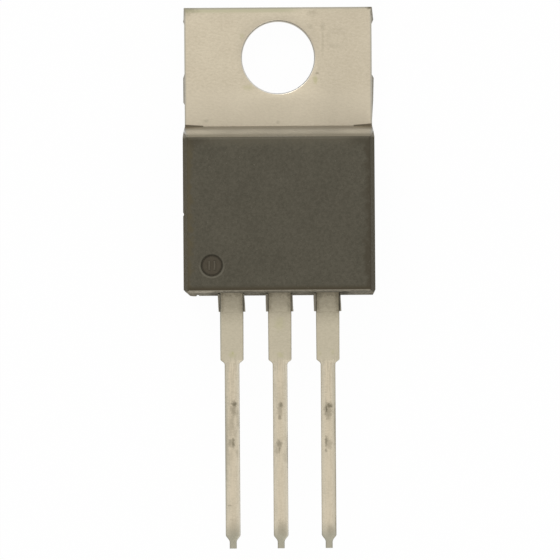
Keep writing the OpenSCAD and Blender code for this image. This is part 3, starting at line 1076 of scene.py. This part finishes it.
def notch_stations(steps=8):
    """Stations through the two round notches, from above them to below them."""
    turns = [math.pi * i / steps for i in range(steps + 1)]
    return [(notch_y + notch_r * math.cos(a), root_half - notch_r * math.sin(a)) for a in turns]


def outer_lead(side, name, node):
    """The lead on one side of the centre lead."""
    bm = bmesh.new()
    edges_x = sorted((side * (pitch - post_inner_w), side * (pitch + post_outer_w)))
    add_block(bm, (edges_x[0], post_end, lead_back), (edges_x[1], post_top, lead_front))
    corners = sharp_edges(bm, lambda p: abs(p.z - lead_middle) < tiny)
    soften(bm, corners, post_corner, 4)
    start = lead_section(bm, (side * pitch, post_end, lead_middle), root_half)
    draw_leg(bm, [start], side * pitch, notch_stations() + leg_stations, root_half)
    finish_piece(bm, name, [matt_tin], node, is_rounding)


outer_lead(-1, "stamped_input_lead", "input_lead")
outer_lead(1, "stamped_output_lead", "output_lead")

# %% [markdown]
# ## Moulding
#
# The epoxy was pressed in two mould halves that meet at the back of the leads. Both
# halves taper away from that line, so that the part comes out of the mould. Where the
# halves met, a hair of plastic stands out all round.

# %% Moulding sizes
side_draft, top_draft, back_draft = 0.245 * MM, 0.64 * MM, 0.16 * MM
foot_draft, wall_draft, edge_r = 0.14 * MM, 0.09 * MM, 0.11 * MM
lip, lip_half = 0.014 * MM, 0.02 * MM


def drafted(z, at_line, front_draft):
    """A distance that shrinks away from the parting line, with the lip on the line itself."""
    if abs(z - lead_back) < tiny:
        return at_line
    if z < lead_back:
        return at_line - lip - back_draft * (lead_back - z) / lead_back
    return at_line - lip - (front_draft - lip) * (z - lead_back) / (front - lead_back)


def lead_end_y(z):
    """The lead end of the moulding: a flared foot as high as the leads, and a wall above."""
    if z <= lead_front:
        return -drafted(z, -mould_end, foot_draft * (front - lead_back) / lead_t)
    return mould_end + foot_draft + wall_draft * (z - lead_front) / (front - lead_front)


def tab_end_y(z):
    """The tab end of the moulding: upright beside the tab, and sloping above it."""
    return mould_top - top_draft * max(0, z - tab_t) / (front - tab_t)


print("front face", round(2 * drafted(front, body_half, side_draft) / MM, 2), "mm wide")

# %% [markdown]
# The block is built in two steps. Below the end of the slug it is solid. Above that end
# only the part round the slug goes on, which leaves the slot that the slug fills. Small
# chips in the parting edge need a few more cuts before the block gets its draft.

# %% Moulding block
bm = bmesh.new()
add_block(bm, (-body_half, mould_end, 0), (body_half, slug_end, front))
for z in (lock_z, tab_t, lead_back - lip_half, lead_back, lead_back + lip_half, lead_front):
    cut_faces(bm, list(bm.faces), 2, z)
for x in (slug_half, lock_half):
    for side in (-1, 1):
        cut_faces(bm, faces_at(bm, 1, slug_end, {2: (0, tab_t)}), 0, side * x)
round_slug = [
    face for face in faces_at(bm, 1, slug_end) if not in_slug(face.calc_center_median())
]
draw_out(bm, round_slug, Vector((0, mould_top - slug_end, 0)))

# chips and lumps in the lip: the place along the lead end or the side, and how far the lip
# stands out there
end_flaws = {-4.70: 0.0, -4.58: 0.02, -4.42: 0.025, -4.36: -0.05, -4.29: -0.045, -4.24: 0.0}
side_flaws = {-8.42: 0.0, -8.36: -0.04, -8.29: -0.035, -8.22: 0.0}
for x in end_flaws:
    cut_faces(bm, faces_at(bm, 1, mould_end), 0, x * MM)
for y in side_flaws:
    cut_faces(bm, faces_at(bm, 0, -body_half), 1, y * MM)

for vert in bm.verts:
    x, y, z = vert.co
    on_lip = abs(z - lead_back) < lip_half + tiny
    if abs(abs(x) - body_half) < tiny:
        vert.co.x = math.copysign(drafted(z, body_half, side_draft), x)
        for place, proud in side_flaws.items():
            if on_lip and x < 0 and abs(y - place * MM) < tiny:
                vert.co.x -= proud * MM
    if abs(y - mould_top) < tiny:
        vert.co.y = tab_end_y(z)
    if abs(y - mould_end) < tiny:
        vert.co.y = lead_end_y(z)
        for place, proud in end_flaws.items():
            if on_lip and abs(x - place * MM) < tiny:
                vert.co.y -= proud * MM
print("drafted block with", len(bm.faces), "faces")


# %% [markdown]
# Flat cuts take off the four upright corners. A bisecting plane that clears its outer side
# leaves an open edge loop, and filling that loop makes the new corner face.

# %% Moulding corners
def trim_corner(bm, outer, along):
    """Cuts a corner away with an upright plane through two points, and closes the cut."""
    outer, along = Vector((*outer, 0)) * MM, Vector((*along, 0)) * MM
    normal = (along - outer).cross(Vector((0, 0, 1)))
    if (Vector((0, (mould_top + mould_end) / 2, 0)) - outer).dot(normal) > 0:
        normal = -normal
    parts = bm.verts[:] + bm.edges[:] + bm.faces[:]
    made = bmesh.ops.bisect_plane(
        bm, geom=parts, dist=1e-9, plane_co=outer, plane_no=normal, clear_outer=True
    )
    bmesh.ops.edgeloop_fill(bm, edges=of_kind(BMEdge, made["geom_cut"]))


half_mm, top_mm, end_mm, tab_mm = body_half / MM, mould_top / MM, mould_end / MM, tab_half / MM
trim_corner(bm, (tab_mm, top_mm), (half_mm, top_mm - 0.6))
trim_corner(bm, (-tab_mm, top_mm), (-half_mm, top_mm - 0.6))
trim_corner(bm, (half_mm, end_mm + 0.28), (half_mm - 0.14, end_mm))
trim_corner(bm, (-half_mm, end_mm + 0.32), (-half_mm + 0.35, end_mm))

front_edges = sharp_edges(bm, lambda p: p.z > front - tiny)
soften(bm, front_edges, edge_r, 4)
print("trimmed block with", len(bm.faces), "faces")

# %% [markdown]
# An ejector pin pushed the soft part out of the mould and left a round mark. Its rim is
# rounded in small steps, so it catches the light. Two plain raised strokes on its floor
# stand for the number of the mould's cavity.

# %% Ejector mark
mark_middle = Vector((mark_x, mark_y)) * MM
mark_patch, mark_rim_round = 0.8 * MM, 0.03 * MM
stroke_half, stroke_low, stroke_high = Vector((0.05, 0.24)) * MM, front - 0.13 * MM, front - 0.07 * MM
rim = open_ring(bm, front, mark_middle, mark_patch, mark_r * MM + mark_rim_round, 64)
# each step: the new radius as a share of the last, and how far down it goes
for share, drop in ((0.975, 0.008), (0.975, 0.02), (0.96, 0.06), (0.95, 0.032)):
    shrink = about((*mark_middle, 0), Matrix.Diagonal((share, share, 1, 1)))
    rim = draw_rim(bm, rim, Matrix.Translation((0, 0, -drop * MM)) @ shrink)
bmesh.ops.edgeloop_fill(bm, edges=rim)
for shift in (-0.14, 0.14):
    middle = mark_middle + Vector((shift * MM, 0))
    low, high = middle - stroke_half, middle + stroke_half
    stroke = add_block(bm, (*low, stroke_low), (*high, stroke_high))
    soften(bm, list({edge for vert in stroke for edge in vert.link_edges}), 0.015 * MM)
print("mark", 2 * mark_r, "mm across")

# %% [markdown]
# Between the moulding and the cut dam bar, plastic was squeezed out beside each lead and
# in a thin film over its edges. Each strip is a block, cut across so that its outer wall
# can lean a little and its film can end unevenly.

# %% Flash beside the leads
flash_end, flash_cuts = body_low.y, 6
# the strip starts inside the lead and ends inside the moulding, and its film is very thin
flash_inner, flash_sink, flash_root, film_t = 0.6 * MM, 0.01 * MM, 0.1 * MM, 0.006 * MM
# how far the left strip (-1) and the right strip (1) of each lead reach from the lead's
# axis: at the moulding, and at the dam bar
flash_reach = {
    -1: {-1: (0.735, 0.685), 1: (0.67, 0.73)},
    0: {-1: (0.745, 0.725), 1: (0.685, 0.73)},
    1: {-1: (0.75, 0.725), 1: (0.68, 0.72)},
}


def flash_strip(bm, lead, side):
    """The flash on one side of a lead, with an uneven inner edge."""
    axis_x, length = lead * pitch, mould_end - flash_end
    at_moulding, at_bar = flash_reach[lead][side]
    sides_x = sorted((axis_x + side * flash_inner, axis_x + side * at_moulding * MM))
    low = (sides_x[0], flash_end, lead_back + flash_sink)
    made = set(add_block(bm, low, (sides_x[1], mould_end + flash_root, lead_front + film_t)))
    for i in range(1, flash_cuts):
        strip = [face for face in bm.faces if made.issuperset(face.verts)]
        made.update(cut_faces(bm, strip, 1, flash_end + length * i / flash_cuts))
    for vert in made:
        t = min(1, max(0, (mould_end - vert.co.y) / length))
        wobble = noise.noise(Vector((axis_x, vert.co.y, side)) / MM * 1.7)
        if side * (vert.co.x - axis_x) > root_half:
            reach = at_moulding * (1 - t) + at_bar * t
            vert.co.x = axis_x + side * (reach + 0.012 * wobble) * MM
        elif vert.co.z > lead_front:
            vert.co.x = axis_x + side * (root_half + (0.01 * t + 0.02 * wobble) * MM)


for lead in (-1, 0, 1):
    for side in (-1, 1):
        flash_strip(bm, lead, side)
# thin plates of resin on the tab, at both ends of the slope's foot, narrower inwards
plate_inner, plate_outer, plate_w, plate_t = 4.0 * MM, 4.95 * MM, 0.10 * MM, 0.05 * MM
for side in (-1, 1):
    sides_x = sorted((side * plate_inner, side * plate_outer))
    low = (sides_x[0], mould_top - 0.02 * MM, tab_t - 0.01 * MM)
    for vert in add_block(bm, low, (sides_x[1], mould_top + plate_w, tab_t + plate_t)):
        if vert.co.y > mould_top and abs(vert.co.x) < (plate_inner + plate_outer) / 2:
            vert.co.y -= 0.7 * plate_w
print("flash ends at", round(flash_end / MM, 2), "mm")

# %% [markdown]
# The slope gets the polished epoxy, and all the rest the etched one. Where the moulding
# rubs against things, its skin is paler, and the flash, the lead end and the rounded front
# edges are painted paler still as a painted highlight. Each face says how much it is rubbed
# and painted lighter.


# %% Moulding piece
def rubbed_and_lit_share(face):
    """How pale a face is, from rubbing and painted highlight: the flash most, then the lead end, and
    the rest hardly at all.
    """
    middle = face.calc_center_median()
    slope_top = mould_top - top_draft - 1.2 * edge_r
    if middle.y > slope_top and front - edge_r < middle.z < front - slack:
        return 0.08
    if middle.y > mould_end + 0.4 * MM:
        raised = abs(middle.z - stroke_high) < 0.01 * MM
        return 0.08 if raised and (middle.xy - mark_middle).length < mark_r * MM else 0
    if middle.z < lead_back:
        return 0.2
    if middle.y < mould_end:
        return 0.85
    if middle.z > front - edge_r - slack:
        return 0.6 if face.normal.z < 0.97 else 0
    return 0.32 if middle.z < lead_front else 0.26


for face in bm.faces:
    middle = face.calc_center_median()
    on_slope = middle.y > mould_top - top_draft and tab_t < middle.z < front - slack
    if on_slope and (face.normal.y > 0.5 or middle.y > mould_top - 0.01 * MM):
        face.material_index = 1
finishes = [filled_epoxy, polished_epoxy]
finish_piece(bm, "epoxy_moulding", finishes, "moulded_body", rubbed_and_lit_share)

# %% [markdown]
# ## Chip, solder and wires
#
# These lie inside the epoxy and keep their solids. They still get their real finish, for
# anyone who cuts the part open: a chip with a grid of metal fingers, dull grey solder
# with a grainy skin, and drawn aluminium wire.


# %% Inner materials
def plain_finish(name, dark, light, scale, metallic, roughness, fingers=0.0):
    """A finish that wanders between two colours, with metal fingers at some scale or none."""
    material, shader, place = new_material(name)
    grey = noise_value(place, scale, 4.0, 0.65)
    colour = mix_colour(ramp(grey, 0.3, 0.7), dark, light)
    if fingers:
        wave = {"Vector": place, "Scale": fingers, "Distortion": 0.0}
        bands = Value(add_node(place.tree, "ShaderNodeTexWave", wave, bands_direction="X"), "Fac")
        colour = mix_colour(ramp(bands, 0.6, 0.7), colour, (0.35, 0.35, 0.36))
    inputs = {"Base Color": colour, "Metallic": metallic, "Roughness": roughness}
    feed_shader(shader, inputs, relief=(grey, 0.3, 0.01))
    return material


solder_grey = plain_finish("solder_grey", (0.30, 0.30, 0.31), (0.45, 0.45, 0.46), 9.0, 1.0, 0.5)
drawn_wire = plain_finish("drawn_wire", (0.62, 0.62, 0.63), (0.75, 0.75, 0.76), 30.0, 1.0, 0.35)
silicon = plain_finish("silicon", (0.05, 0.06, 0.09), (0.08, 0.09, 0.13), 3.0, 0.7, 0.25, 1.4)

inner_finishes = {
    "regulator_die": silicon,
    "die_solder": solder_grey,
    "input_bond_wire": drawn_wire,
    "output_bond_wire": drawn_wire,
    "sense_bond_wire": drawn_wire,
    "ground_bond_wire": drawn_wire,
}
for name, material in inner_finishes.items():
    mesh = frame["nodes"][name].data
    mesh.materials.clear()
    mesh.materials.append(material)
print("finishes on", len(inner_finishes), "inner solids")
